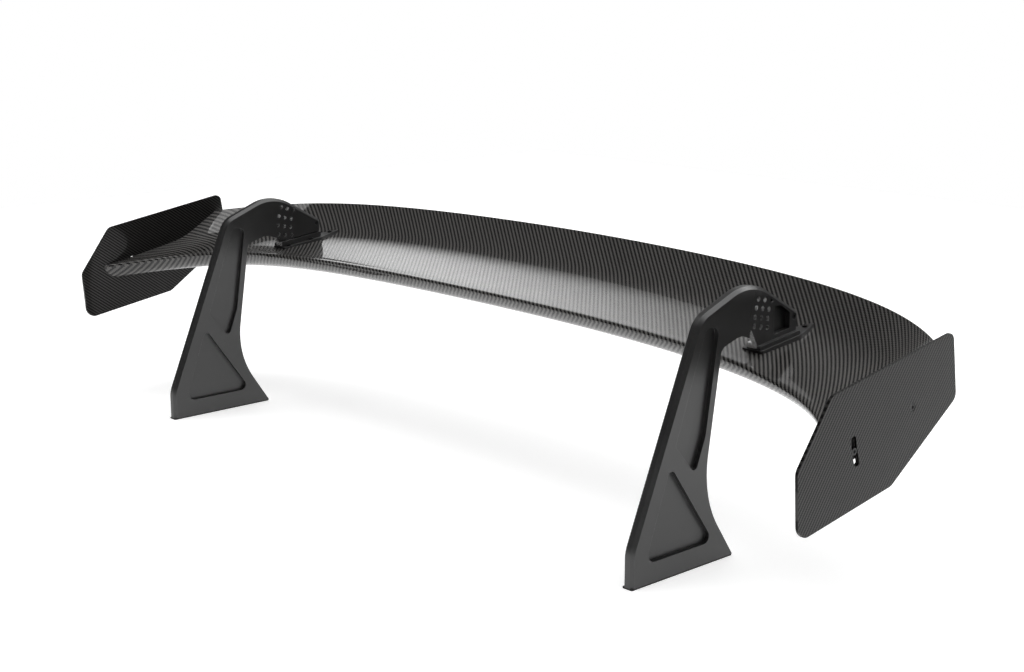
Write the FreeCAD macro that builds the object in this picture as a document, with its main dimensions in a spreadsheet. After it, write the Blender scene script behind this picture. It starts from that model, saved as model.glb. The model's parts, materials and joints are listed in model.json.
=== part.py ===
import FreeCAD, Part
import math
import os
from FreeCAD import Placement, Rotation, Vector

# Racing rear wing: a drooped carbon blade with two tilting end plates, hung from two swan-neck uprights.
# X runs across the car, Y to the rear and Z up. The feet stand on Z = 0, and X = 0 is the middle of the car.

doc = FreeCAD.newDocument("rear_wing")
sheet = doc.addObject("Spreadsheet::Sheet", "Sizes")

SIZES = {
    # the uprights, and the pivot that carries the wing in their noses
    "upright_centre": 500.0,
    "plate_thickness": 16.0,
    "foot_length": 180.0,
    "upright_height": 336.5,
    "pivot_y": 286.3,
    "pivot_under_top": 49.5,
    "edge_chamfer": 4.2,
    "pocket_depth": 6.0,
    "gasket_thickness": 2.0,
    "insert_spacing": 90.0,
    "insert_radius": 5.5,
    "insert_bore": 3.4,
    "insert_depth": 20.0,
    # the blade: where its leading and trailing edges run from the pivot, at the middle and at its ends
    "blade_half_span": 746.0,
    "lead_seat_ahead": 114.0922,
    "lead_seat_under": 43.6476,
    "lead_end_sweep": 168.0,
    "lead_end_drop": 47.0,
    "trail_seat_behind": 90.2793,
    "trail_seat_over": 21.8705,
    "trail_end_sweep": 165.0,
    "trail_end_drop": 35.0,
    # the blade's section
    "nose_half_height": 13.5,
    "trail_half_height": 0.75,
    "floor_start": 4.0,
    "floor_dip_mid": 34.0,
    "floor_dip_end": 19.0,
    "floor_turn_mid": 0.78,
    "floor_turn_end": 0.675,
    "floor_rounding": 8.0,
    "skin_wall": 1.8,
    "bond_gap": 0.3,
    "spar_wall": 2.0,
    "rib_thickness": 12.0,
    "block_half_width": 20.0,
    # the lap joint between an upright's nose and the bracket of the wing
    "lap_radius": 86.0,
    "lap_rim_gap": 0.5,
    "lap_face_gap": 0.3,
    "hole_radius": 3.3,
    "hole_rim_wall": 5.3,
    "hole_pitch": 11.2,
    "hole_middle_angle": 11.3,
    "column_step": 12.3,
    "row_step_angle": 3.0,
    "column_step_angle": 1.0,
    "window_wall": 9.4,
    # the bracket and its base plate
    "bracket_start": 1.0,
    "bracket_seat_length": 78.0,
    "block_height": 7.6,
    "ledge_width": 5.0,
    "ledge_height": 5.0,
    "base_width": 32.0,
    "base_length": 125.0,
    "base_tail": 48.0,
    "base_thickness": 3.0,
    "base_front_ahead": 71.3,
    # the end plates
    "end_plate_length": 296.0,
    "end_plate_height": 140.0,
    "end_plate_thickness": 3.6,
    "end_plate_gap": 0.4,
    "end_plate_tilt": 9.2,
    "tilt_travel": 7.0,
    "end_pivot_behind_lead": 161.0,
    "end_pivot_over_lead": 29.2,
    "slot_radius": 109.0,
    "slot_angle": 15.9,
    # the fasteners
    "running_gap": 0.05,
    "screw_gap": 0.1,
    "head_gap": 0.4,
    "pivot_bolt": 3.0,
    "pivot_head": 4.0,
    "pivot_head_height": 2.6,
    "end_bolt": 2.5,
    "end_bolt_head": 4.2,
    "end_head_height": 1.9,
    "end_bolt_length": 12.0,
    "sleeve_wall": 0.9,
    "base_screw": 2.0,
    "base_screw_head": 3.5,
    "base_head_height": 2.2,
    "base_screw_length": 11.0,
    "foot_screw": 2.5,
    "foot_screw_head": 4.8,
    "foot_head_height": 1.2,
    "foot_screw_length": 7.5,
}
for row, (alias, value) in enumerate(SIZES.items(), start=1):
    sheet.set(f"A{row}", alias)
    sheet.set(f"B{row}", str(value))
    sheet.setAlias(f"B{row}", alias)
doc.recompute()


def size(alias):
    return float(sheet.get(alias))


pieces = {}


def keep(name, made, placement=None):
    """Names a finished sub-part and puts it in its place."""
    made.Label = name
    if placement:
        made.Placement = placement
    pieces[name] = made
    return made


# ---------------------------------------------------------------- drawing helpers

def origin_plane(body, role):
    return next(plane for plane in body.Origin.OriginFeatures if plane.Role == role)


def new_body(name):
    return doc.addObject("PartDesign::Body", name + "_body")


def sketch_on(body, role, name, edges, offset=Placement()):
    """A sketch on one of the body's own origin planes, moved off it by the given offset."""
    drawn = body.newObject("Sketcher::SketchObject", name)
    drawn.AttachmentSupport = [(origin_plane(body, role), "")]
    drawn.MapMode = "FlatFace"
    drawn.AttachmentOffset = offset
    for edge in edges:
        drawn.addGeometry(edge, False)
    return drawn


def rounded(corners):
    """Lines and arcs of a closed outline whose corners are (across, up, radius)."""
    count = len(corners)
    ends = []
    arcs = []
    for index, (across, up, radius) in enumerate(corners):
        here = Vector(across, up, 0)
        before = Vector(*corners[index - 1][:2], 0) - here
        after = Vector(*corners[(index + 1) % count][:2], 0) - here
        before.normalize()
        after.normalize()
        if radius == 0:
            ends.append((here, here))
            arcs.append(None)
            continue
        half_corner = before.getAngle(after) / 2
        reach = radius / math.tan(half_corner)
        inward = (before + after).normalize()
        middle = here + inward * (radius / math.sin(half_corner) - radius)
        ends.append((here + before * reach, here + after * reach))
        arcs.append(Part.Arc(ends[-1][0], middle, ends[-1][1]))
    edges = []
    for index in range(count):
        if arcs[index]:
            edges.append(arcs[index])
        edges.append(Part.LineSegment(ends[index][1], ends[(index + 1) % count][0]))
    return edges


def circle(across, up, radius):
    return Part.Circle(Vector(across, up, 0), Vector(0, 0, 1), radius)


def sheet_size(feature, prop, expression):
    """Binds a feature's size to the spreadsheet."""
    feature.setExpression(prop, expression)


def pad(body, name, drawn, length, both_ways=False, reverse=False):
    feature = body.newObject("PartDesign::Pad", name)
    feature.Profile = drawn
    feature.Midplane = both_ways
    feature.Reversed = reverse
    sheet_size(feature, "Length", length)
    doc.recompute()
    return feature


def pocket(body, name, drawn, length=None, reverse=False):
    """Cuts away from the sketch's face, or right through both ways when it has no length."""
    before = body.Shape.Volume
    feature = body.newObject("PartDesign::Pocket", name)
    feature.Profile = drawn
    feature.Reversed = reverse
    if length:
        sheet_size(feature, "Length", length)
    else:
        feature.Type = "ThroughAll"
        feature.Midplane = True
    doc.recompute()
    if not body.Shape.Volume < before - 1:
        raise RuntimeError(f"{body.Label}: {name} cut nothing")
    return feature


def face_offset(side):
    """The outboard face of a plate whose middle is the sketch plane."""
    return Placement(Vector(0, 0, side * size("plate_thickness") / 2), Rotation())


def chamfer_chain(body, feature, chain, faces):
    """Chamfers the edges that follow the chain of outline edges on the faces at the given x."""
    outline = [edge.toShape() for edge in chain]
    names = []
    for index, edge in enumerate(feature.Shape.Edges, start=1):
        middle = edge.valueAt((edge.FirstParameter + edge.LastParameter) / 2)
        on_face = any(abs(middle.x - x) < 1e-4 and abs(edge.Vertexes[0].X - x) < 1e-4 for x in faces)
        flat = Part.Vertex(middle.y, middle.z, 0)
        if on_face and any(flat.distToShape(piece)[0] < 1e-4 for piece in outline):
            names.append(f"Edge{index}")
    made = body.newObject("PartDesign::Chamfer", "EdgeChamfer")
    made.Base = (feature, names)
    sheet_size(made, "Size", "Sizes.edge_chamfer")
    doc.recompute()
    return made


def cylinder(name, radius, height, place=Placement()):
    made = doc.addObject("Part::Cylinder", name)
    sheet_size(made, "Radius", radius)
    sheet_size(made, "Height", height)
    made.Placement = place
    return made


def cut(name, base, tool):
    made = doc.addObject("Part::Cut", name)
    made.Base = base
    made.Tool = tool
    return made


def compound(name, members):
    made = doc.addObject("Part::Compound", name)
    made.Links = members
    return made


def tube(name, outer, bore, height, place):
    """A plain sleeve that stands up from its place."""
    made = cut(name, cylinder(name + "_outside", outer, height), cylinder(name + "_bore", bore, height))
    made.Placement = place
    return made


def socket_screw(name, head, head_height, shank, length, place):
    """A screw whose head sits below its place and whose shank points up from it, with a hex socket."""
    head_down = Placement(Vector(0, 0, 0), Rotation(Vector(1, 0, 0), 180))
    top = cylinder(name + "_head", head, head_height, head_down)
    stem = cylinder(name + "_shank", shank, length)
    whole = doc.addObject("Part::Fuse", name + "_whole")
    whole.Base = top
    whole.Tool = stem
    key = doc.addObject("Part::Prism", name + "_socket")
    key.Polygon = 6
    sheet_size(key, "Circumradius", f"({head}) * 0.55")
    sheet_size(key, "Height", f"({head_height}) * 0.6")
    key.setExpression("Placement.Base.z", f"-({head_height})")
    made = cut(name, whole, key)
    made.Placement = place
    return made


SIDES = {"left": -1, "right": 1}
ACROSS = Vector(1, 0, 0)


def from_pivot(back, up):
    """A point (y, z) behind and above the pivot in the uprights' noses."""
    return size("pivot_y") + back, size("upright_height") - size("pivot_under_top") + up


def turned_to(direction):
    return Rotation(Vector(0, 0, 1), direction)


# ---------------------------------------------------------------- the blade's shape

NOSE_SHARE = 0.1          # the nose's share of the chord
TAPER_POWER = 1.0         # how full the section stays behind the nose


def blend(share, gentle, power):
    """A bend that starts gently from the middle and gathers towards the end of the span."""
    return gentle * share ** 2 + (1 - gentle) * share ** power


def bend_past_seat(x, gentle, power):
    """How much further an edge has bent at x than it has over the uprights, where the blade is held."""
    half_span = size("blade_half_span")
    held_at = size("upright_centre") / half_span
    return blend(abs(x) / half_span, gentle, power) - blend(held_at, gentle, power)


def leading_edge(x):
    back = -size("lead_seat_ahead") - size("lead_end_sweep") * bend_past_seat(x, 0.3, 10)
    up = -size("lead_seat_under") - size("lead_end_drop") * bend_past_seat(x, 0.1, 4)
    return Vector(x, *from_pivot(back, up))


def trailing_edge(x):
    back = size("trail_seat_behind") - size("trail_end_sweep") * bend_past_seat(x, 0.5, 8)
    up = size("trail_seat_over") - size("trail_end_drop") * bend_past_seat(x, 0.4, 5)
    return Vector(x, *from_pivot(back, up))


def half_thickness(along):
    """Half of the section's thickness at a share of the chord: an elliptic nose, then a taper."""
    nose = size("nose_half_height")
    trail = size("trail_half_height")
    if along < NOSE_SHARE:
        return nose * math.sqrt(max(0.0, 1 - (1 - along / NOSE_SHARE) ** 2))
    back = (along - NOSE_SHARE) / (1 - NOSE_SHARE)
    return trail + (nose - trail) * max(0.0, 1 - back * back) ** TAPER_POWER


def floor_line(along, x):
    """The blade's upper face over its chord line: a nearly flat floor that turns up into the tail.

    The two straight stretches meet at the turn, and a hyperbola rounds the corner between them.
    """
    toward_end = (abs(x) / size("blade_half_span")) ** 6
    dip = size("floor_dip_mid") + (size("floor_dip_end") - size("floor_dip_mid")) * toward_end
    turn = size("floor_turn_mid") + (size("floor_turn_end") - size("floor_turn_mid")) * toward_end
    floor = size("floor_start") - (size("floor_start") + dip) * along / turn
    tail = -dip * (1 - along) / (1 - turn)
    return (floor + tail + math.hypot(floor - tail, size("floor_rounding"))) / 2


def mid_line(along, x):
    """Midway between the two faces. Over the nose it bends up to meet the leading edge."""
    if along >= NOSE_SHARE:
        return floor_line(along, x) - half_thickness(along)
    step = 0.001
    meets = mid_line(NOSE_SHARE, x)
    slope = (mid_line(NOSE_SHARE + step, x) - meets) / step
    bend = (slope * NOSE_SHARE - meets) / NOSE_SHARE ** 2
    return meets + slope * (along - NOSE_SHARE) + bend * (along - NOSE_SHARE) ** 2


def in_section(along, over, x):
    """A point at a share of the chord and a height over the chord line."""
    front = leading_edge(x)
    chord = trailing_edge(x) - front
    upward = Vector(0, -chord.z, chord.y).normalize()
    return front + chord * along + upward * over


def inner_half(along, x, wall):
    """Half of the space inside skins of the given wall, at a share of the chord."""
    if along >= NOSE_SHARE:
        return half_thickness(along) - wall
    start = wall / (trailing_edge(x) - leading_edge(x)).Length
    reach = (NOSE_SHARE - along) / (NOSE_SHARE - start)
    return (size("nose_half_height") - wall) * math.sqrt(max(0.0, 1 - reach * reach))


def curve(points):
    spline = Part.BSplineCurve()
    spline.interpolate(points)
    return spline.toShape()


NOSE_TURNS = [math.radians(turn) for turn in (12, 28, 46, 66)]
BODY_SHARES = [NOSE_SHARE, 0.16, 0.24, 0.33, 0.42, 0.51, 0.59, 0.65, 0.7, 0.74, 0.78, 0.82, 0.86, 0.9]


def face_curve(x, sign):
    """The outside of one skin, from the leading edge to the trailing edge."""
    shares = [0] + [NOSE_SHARE * (1 - math.cos(turn)) for turn in NOSE_TURNS] + BODY_SHARES + [0.95, 1]
    return curve([in_section(s, mid_line(s, x) + sign * half_thickness(s), x) for s in shares])


def skin_section(x, sign):
    """One skin cut across: its outside, the bond at the tail, its inside, and the bond at the nose."""
    wall = size("skin_wall")
    chord = (trailing_edge(x) - leading_edge(x)).Length
    nose_bond = wall / chord
    trail = size("trail_half_height")
    taper = ((wall - trail) / (size("nose_half_height") - trail)) ** (1 / TAPER_POWER)
    tail_bond = NOSE_SHARE + (1 - NOSE_SHARE) * math.sqrt(1 - taper)
    outside = face_curve(x, sign)
    tail = [in_section(s, mid_line(s, x), x) for s in (1, (1 + tail_bond) / 2, tail_bond)]
    shares = [s for s in reversed(BODY_SHARES) if s < tail_bond - 0.02]
    shares += [nose_bond + (NOSE_SHARE - nose_bond) * (1 - math.cos(turn)) for turn in reversed(NOSE_TURNS)]
    inside = [tail[-1]]
    inside += [in_section(s, mid_line(s, x) + sign * inner_half(s, x, wall), x) for s in shares]
    inside += [in_section(nose_bond, mid_line(nose_bond, x), x)]
    end_face = Part.makeLine(outside.Vertexes[-1].Point, tail[0])
    nose_face = Part.makeLine(inside[-1], outside.Vertexes[0].Point)
    return Part.Wire([outside, end_face, curve(tail), curve(inside), nose_face])


def outer_section(x):
    """The whole blade cut across, as one solid outline."""
    upper = face_curve(x, 1)
    lower = face_curve(x, -1)
    end_face = Part.makeLine(upper.Vertexes[-1].Point, lower.Vertexes[-1].Point)
    return Part.Wire([upper, end_face, lower])


def core_section(x, start, end, inset):
    """The space inside the skins between two shares of the chord, kept in by an inset."""
    wall = size("skin_wall") + inset
    shares = [start + (end - start) * step / 6 for step in range(7)]
    top = [in_section(s, mid_line(s, x) + inner_half(s, x, wall), x) for s in shares]
    bottom = [in_section(s, mid_line(s, x) - inner_half(s, x, wall), x) for s in reversed(shares)]
    back = Part.makeLine(top[-1], bottom[0])
    front = Part.makeLine(bottom[-1], top[0])
    return Part.Wire([curve(top), back, curve(bottom), front])


def stations(reach):
    """Places along the span, closer together where the blade bends more."""
    share = [0, 0.2, 0.4, 0.55, 0.67, 0.76, 0.84, 0.91, 0.96, 0.984, 1]
    return [-reach * s for s in reversed(share[1:])] + [reach * s for s in share]


def lofted(section, places):
    return Part.makeLoft([section(x) for x in places], True, False)


def code_shape(name, shape):
    made = doc.addObject("Part::Feature", name + "_shape")
    made.Shape = shape
    return made


# ---------------------------------------------------------------- where the bracket's base plate lies

BASE_SEAT_SINK = 2.5      # how far the base plate's blank reaches under the blade's face before it is fitted
SEAT_REACH = 0.99         # share of the base plate's length whose two ends rest on the blade


def face_height(y, x):
    """Height of the blade's upper face at a place (y, x)."""
    low = 0.02
    high = 1.0
    for _ in range(40):
        middle = (low + high) / 2
        point = in_section(middle, floor_line(middle, x) if middle > NOSE_SHARE else 0, x)
        if point.y < y:
            low = middle
        else:
            high = middle
    return point.z


def base_line():
    """Front end and slope of the base plate's underside, a straight line that rests on the blade's face."""
    x = size("upright_centre")
    front = size("pivot_y") - size("base_front_ahead")
    rear = front + size("base_length") * SEAT_REACH
    slope = math.atan2(face_height(rear, x) - face_height(front, x), rear - front)
    return front, face_height(front, x), slope


def on_base(along, over):
    """A point (y, z) along the base plate and over its underside."""
    front, height, slope = base_line()
    y = front + along * math.cos(slope) - over * math.sin(slope)
    z = height + along * math.sin(slope) + over * math.cos(slope)
    return y, z


def base_plane(over):
    """The XY plane moved on to the base plate, at a height over its underside."""
    y, z = on_base(0, over)
    return Placement(Vector(0, y, z), Rotation(Vector(1, 0, 0), math.degrees(base_line()[2])))


def base_screw_places():
    """(x towards outboard, share of the length): one in the tail and two beside the bracket, inboard."""
    beside = -size("plate_thickness") / 2 - size("base_screw_head")
    return [(0, 0.84), (beside, 0.106), (beside, 0.468)]


FOOT_SCREW_SHARES = [0.149, 0.468]      # along the base plate, under the bracket


# ---------------------------------------------------------------- the skins, spars, ribs and blocks

def base_screw_axis(side, x, share):
    """Place of a base plate screw at the plate's top face, looking down its own axis."""
    y, z = on_base(share * size("base_length"), size("base_thickness"))
    slope = math.degrees(base_line()[2])
    down = Rotation(Vector(1, 0, 0), slope + 180)
    return Placement(Vector(side * (size("upright_centre") + x), y, z), down)


def screw_holes(radius):
    """Solid rods along every base plate screw, for clearing their way."""
    rods = []
    for side in SIDES.values():
        for x, share in base_screw_places():
            over = size("base_head_height")
            rod = Part.makeCylinder(radius, size("base_screw_length") + 2 * over, Vector(0, 0, -over))
            rod.Placement = base_screw_axis(side, x, share)
            rods.append(rod)
    return Part.makeCompound(rods)


SPAR_SHARES = {"main_spar": (0.15, 0.2), "rear_spar": (0.76, 0.8)}      # of the chord, front to back
BLOCK_SHARES = (0.21, 0.745)
RIB_SHARES = (0.03, 0.9)


def hollow_section(x, start, end):
    """The bore of a spar, inside its own wall."""
    wall = size("spar_wall")
    share = wall / (trailing_edge(x) - leading_edge(x)).Length
    return core_section(x, start + share, end - share, size("bond_gap") + wall)


def make_skins():
    span = stations(size("blade_half_span"))
    clear = screw_holes(size("base_screw") + size("screw_gap"))
    upper = lofted(lambda x: skin_section(x, 1), span).cut(clear)
    lower = lofted(lambda x: skin_section(x, -1), span)
    keep("blade_upper_skin", code_shape("blade_upper_skin", upper))
    keep("blade_lower_skin", code_shape("blade_lower_skin", lower))


def make_core():
    """The spars, the blocks that the brackets are screwed to, and the ribs that close the ends."""
    gap = size("bond_gap")
    half_span = size("blade_half_span")
    rib = size("rib_thickness")
    for name, shares in SPAR_SHARES.items():
        places = stations(half_span - rib - gap)
        beam = lofted(lambda x: core_section(x, *shares, gap), places)
        hollow = lofted(lambda x: hollow_section(x, *shares), places)
        keep(name, code_shape(name, beam.cut(hollow)))

    threads = screw_holes(size("base_screw"))
    for word, side in SIDES.items():
        middle = side * size("upright_centre")
        reach = size("block_half_width")
        places = [middle - reach, middle, middle + reach]
        block = lofted(lambda x: core_section(x, *BLOCK_SHARES, gap), places)
        keep(f"mount_block_{word}", code_shape(f"mount_block_{word}", block.cut(threads)))
        outer = side * half_span
        blank = lofted(lambda x: core_section(x, *RIB_SHARES, 2 * gap), [outer - side * rib, outer])
        bore = size("end_bolt") + size("sleeve_wall")
        bores = [Part.makeCylinder(bore, 2 * rib, Vector(outer - rib, y, z), ACROSS)
                 for y, z in end_bolt_places()]
        keep(f"end_rib_{word}", code_shape(f"end_rib_{word}", blank.cut(Part.makeCompound(bores))))


def end_bolt_places():
    """(y, z) of the two bolts of an end plate: its rear pivot and the clamp in the curved slot."""
    tip = leading_edge(size("blade_half_span"))
    pivot = (tip.y + size("end_pivot_behind_lead"), tip.z + size("end_pivot_over_lead"))
    angle = math.radians(size("slot_angle"))
    reach = size("slot_radius")
    return [pivot, (pivot[0] - reach * math.cos(angle), pivot[1] - reach * math.sin(angle))]


# ---------------------------------------------------------------- the uprights

KNEE_HEIGHT = 44.5        # the front edge stands straight up from the foot to here, then leans back


def front_edge(height):
    """How far back the upright's leaning front edge is at a height."""
    shoulder_y, shoulder_z, _ = nose_corners()[0]
    return shoulder_y * max(0.0, height - KNEE_HEIGHT) / (shoulder_z - KNEE_HEIGHT)


def behind_front(inset, height_share, radius):
    """A corner behind the front edge, at a share of the upright's height."""
    height = height_share * size("upright_height")
    return front_edge(height) + inset, height, radius


def nose_corners():
    """The outline's top: the shoulder, the crown, whose arc just reaches the full height, and the nose."""
    over = size("pivot_under_top")
    return [(*from_pivot(-175.9, over - 27.5), 35), (*from_pivot(-84.7, over + 7.7), 78.6),
            (*from_pivot(8.5, 5.2), 6)]


def upright_corners():
    foot = size("gasket_thickness")
    length = size("foot_length")
    arch = [(*from_pivot(8.5, -13.5), 0), (*from_pivot(-64.3, -21.5), 20), (*from_pivot(-101.3, -9), 30),
            (*from_pivot(-136.8, -20.1), 10)]
    front = [(0, foot, 0), (0, KNEE_HEIGHT, 45)]
    rear = [(length - 58, 88, 130), (length, foot, 0)]
    return front + nose_corners() + arch + rear


def upper_pocket():
    return rounded([behind_front(22.4, 0.478, 5), behind_front(15.6, 0.883, 9), behind_front(40.3, 0.871, 9),
                    behind_front(74.2, 0.49, 60), behind_front(75.5, 0.357, 6)])


def lower_pocket():
    floor = size("insert_depth") + size("gasket_thickness") + 5
    return rounded([(22, floor, 12), behind_front(23.1, 0.416, 7), (size("foot_length") - 36.2, floor, 9)])


def hole_reach(column):
    """How far a column of the adjuster's holes lies from the pivot."""
    rim = size("lap_radius") - size("hole_rim_wall") - size("hole_radius")
    return rim - column * size("column_step")


def vernier_holes(for_upright):
    """(y, z) of the adjuster's holes. The upright's rows and columns are spaced wider than the bracket's."""
    places = []
    for column in range(3):
        reach = hole_reach(column)
        pitch = math.degrees(size("hole_pitch") / reach)
        for row in range(4):
            angle = size("hole_middle_angle") + (1.5 - row) * pitch
            if for_upright:
                angle += (2 - column) * size("column_step_angle") - row * size("row_step_angle")
            turn = math.radians(angle)
            places.append(from_pivot(-reach * math.cos(turn), reach * math.sin(turn)))
    return places


LOCK_HOLE = 8      # the front row's hole in the rear column, where bracket and upright line up at rest


def make_upright(word, side):
    body = new_body(f"upright_{word}")
    outline = rounded(upright_corners())
    plate = pad(body, "Plate", sketch_on(body, "YZ_Plane", "Outline", outline), "Sizes.plate_thickness", True)
    half = size("plate_thickness") / 2
    front_and_top = outline[:9]
    chamfer_chain(body, plate, front_and_top, (half, -half))

    for name, drawn in (("UpperPocket", upper_pocket), ("LowerPocket", lower_pocket)):
        for face in (1, -1):
            sketch = sketch_on(body, "YZ_Plane", f"{name}Outline", drawn(), face_offset(face))
            pocket(body, name, sketch, "Sizes.pocket_depth", face < 0)

    pivot = from_pivot(0, 0)
    room = [circle(*pivot, size("lap_radius") + size("lap_rim_gap"))]
    lap = sketch_on(body, "YZ_Plane", "LapOutline", room, face_offset(side))
    pocket(body, "Lap", lap, "Sizes.plate_thickness / 2 + Sizes.lap_face_gap / 2", side < 0)

    holes = [circle(y, z, size("hole_radius")) for y, z in vernier_holes(True)]
    holes.append(circle(*pivot, size("pivot_bolt")))
    pocket(body, "AdjusterHoles", sketch_on(body, "YZ_Plane", "HoleCentres", holes))

    bores = [circle(0, y, size("insert_radius")) for y in insert_places()]
    under = Placement(Vector(0, 0, size("gasket_thickness")), Rotation())
    centres = sketch_on(body, "XY_Plane", "InsertCentres", bores, under)
    pocket(body, "InsertBores", centres, "Sizes.insert_depth", True)
    return keep(f"upright_{word}", body, Placement(Vector(side * size("upright_centre"), 0, 0), Rotation()))


def insert_places():
    middle = size("foot_length") / 2
    return [middle - size("insert_spacing") / 2, middle + size("insert_spacing") / 2]


def make_foot_parts(word, side):
    centre = side * size("upright_centre")
    body = new_body(f"foot_gasket_{word}")
    half = size("plate_thickness") / 2
    length = size("foot_length")
    edges = rounded([(-half, 0, 2), (-half, length, 2), (half, length, 2), (half, 0, 2)])
    edges += [circle(0, y, size("insert_bore") + size("head_gap")) for y in insert_places()]
    pad(body, "Sheet", sketch_on(body, "XY_Plane", "Outline", edges), "Sizes.gasket_thickness")
    keep(f"foot_gasket_{word}", body, Placement(Vector(centre, 0, 0), Rotation()))
    sleeves = []
    for index, y in enumerate(insert_places()):
        place = Placement(Vector(centre, y, size("gasket_thickness")), Rotation())
        sleeves.append(tube(f"insert_{word}_{index}", "Sizes.insert_radius", "Sizes.insert_bore",
                            "Sizes.insert_depth", place))
    keep(f"foot_inserts_{word}", compound(f"foot_inserts_{word}_group", sleeves))


# ---------------------------------------------------------------- the wing's brackets

def bracket_corners():
    seat = size("base_thickness")
    start = size("bracket_start")
    rear_low = on_base(start + size("bracket_seat_length"), seat)
    nose_y = nose_corners()[2][0]
    top_front = (*from_pivot(-125, size("pivot_under_top") - 7.8), 0)
    return [top_front, *nose_corners()[1:], (nose_y, rear_low[1] + 2, 0),
            (*rear_low, 0), (*on_base(start, seat), 0), (*on_base(start, seat + size("block_height")), 0),
            (*from_pivot(-82.3, -6), 0), (*from_pivot(-106.3, 13), 0)]


def window_outline():
    """The opening behind the holes, with its upper rear corner cut off along the nose."""
    front = -(hole_reach(2) - size("hole_radius") - size("window_wall"))
    return rounded([(*from_pivot(front, -17.5), 2.5), (*from_pivot(front, 18.5), 2.5),
                    (*from_pivot(-26.8, 17.5), 4), (*from_pivot(-8.8, 6), 3), (*from_pivot(-8.8, -14.2), 2.5)])


def make_bracket(word, side):
    body = new_body(f"wing_bracket_{word}")
    corners = bracket_corners()
    outline = rounded(corners)
    half = size("plate_thickness") / 2
    plate = pad(body, "Plate", sketch_on(body, "YZ_Plane", "Outline", outline), "Sizes.plate_thickness", True)
    chamfer_chain(body, plate, outline[1:6], (side * half,))

    seat = size("base_thickness")
    low_front = on_base(-size("base_tail"), seat + size("block_height"))
    low_rear = on_base(size("base_length"), seat + size("block_height"))
    over_all = size("upright_height") * 1.2
    tongue_room = rounded([(*low_front, 0), (*low_rear, 0),
                           (low_rear[0], over_all, 0), (low_front[0], over_all, 0)])
    room = sketch_on(body, "YZ_Plane", "TongueRoom", tongue_room, face_offset(-side))
    pocket(body, "TongueCut", room, "Sizes.plate_thickness / 2 + Sizes.lap_face_gap / 2", side > 0)

    pivot = from_pivot(0, 0)
    ring = [circle(*pivot, size("lap_radius")), circle(*pivot, size("lap_radius") * 2)]
    pocket(body, "LapRim", sketch_on(body, "YZ_Plane", "RimOutline", ring))

    opened = sketch_on(body, "YZ_Plane", "WindowOutline", window_outline(), face_offset(side))
    pocket(body, "Window", opened, "Sizes.plate_thickness / 2 + Sizes.lap_face_gap", side < 0)

    holes = [circle(y, z, size("hole_radius")) for y, z in vernier_holes(False)]
    lock = vernier_holes(False)[LOCK_HOLE]
    holes[LOCK_HOLE] = circle(*lock, size("pivot_bolt"))
    holes.append(circle(*pivot, size("pivot_bolt") + size("running_gap")))
    pocket(body, "AdjusterHoles", sketch_on(body, "YZ_Plane", "HoleCentres", holes))
    head_room = [circle(*pivot, size("pivot_head") + size("head_gap"))]
    recess = sketch_on(body, "YZ_Plane", "HeadOutline", head_room, face_offset(side))
    pocket(body, "HeadRecess", recess, "Sizes.pivot_head_height + Sizes.head_gap", side < 0)

    start = size("bracket_start")
    end = start + size("bracket_seat_length")
    top = seat + size("ledge_height")
    ledge = rounded([(*on_base(start, seat), 1), (*on_base(start, top), 2),
                     (*on_base(end, top), 2), (*on_base(end, seat), 1)])
    shelf = sketch_on(body, "YZ_Plane", "LedgeOutline", ledge, face_offset(side))
    pad(body, "Ledge", shelf, "Sizes.ledge_width", False, side < 0)

    threads = [circle(0, share * size("base_length"), size("foot_screw")) for share in FOOT_SCREW_SHARES]
    under = sketch_on(body, "XY_Plane", "ScrewCentres", threads, base_plane(seat))
    pocket(body, "ScrewThreads", under, "Sizes.foot_screw_length - 0.5", True)
    keep(f"wing_bracket_{word}", body, Placement(Vector(side * size("upright_centre"), 0, 0), Rotation()))


def make_base_plate(word, side, blade_blank):
    body = new_body(f"base_plate_{word}")
    half = size("base_width") / 2
    length = size("base_length")
    tail = length - size("base_tail")
    outline = rounded([(-half, 0, 3), (half, 0, 3), (half, tail, 20), (0, length, 1.5), (-half, tail, 20)])
    gap = size("screw_gap")
    holes = [circle(side * x, share * length, size("base_screw") + gap) for x, share in base_screw_places()]
    holes += [circle(0, share * length, size("foot_screw") + gap) for share in FOOT_SCREW_SHARES]
    sunk = Placement(base_plane(-BASE_SEAT_SINK))
    sketch = sketch_on(body, "XY_Plane", "Outline", outline + holes, sunk)
    pad(body, "Blank", sketch, f"Sizes.base_thickness + {BASE_SEAT_SINK}")
    heads = [circle(0, share * length, size("foot_screw_head") + gap) for share in FOOT_SCREW_SHARES]
    under = sketch_on(body, "XY_Plane", "HeadCentres", heads, sunk)
    pocket(body, "HeadRecesses", under, f"Sizes.foot_head_height + Sizes.head_gap + {BASE_SEAT_SINK}", True)
    body.Placement = Placement(Vector(side * size("upright_centre"), 0, 0), Rotation())
    fitted = cut(f"base_plate_{word}_fitted", body, blade_blank)
    keep(f"base_plate_{word}", fitted)


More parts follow.
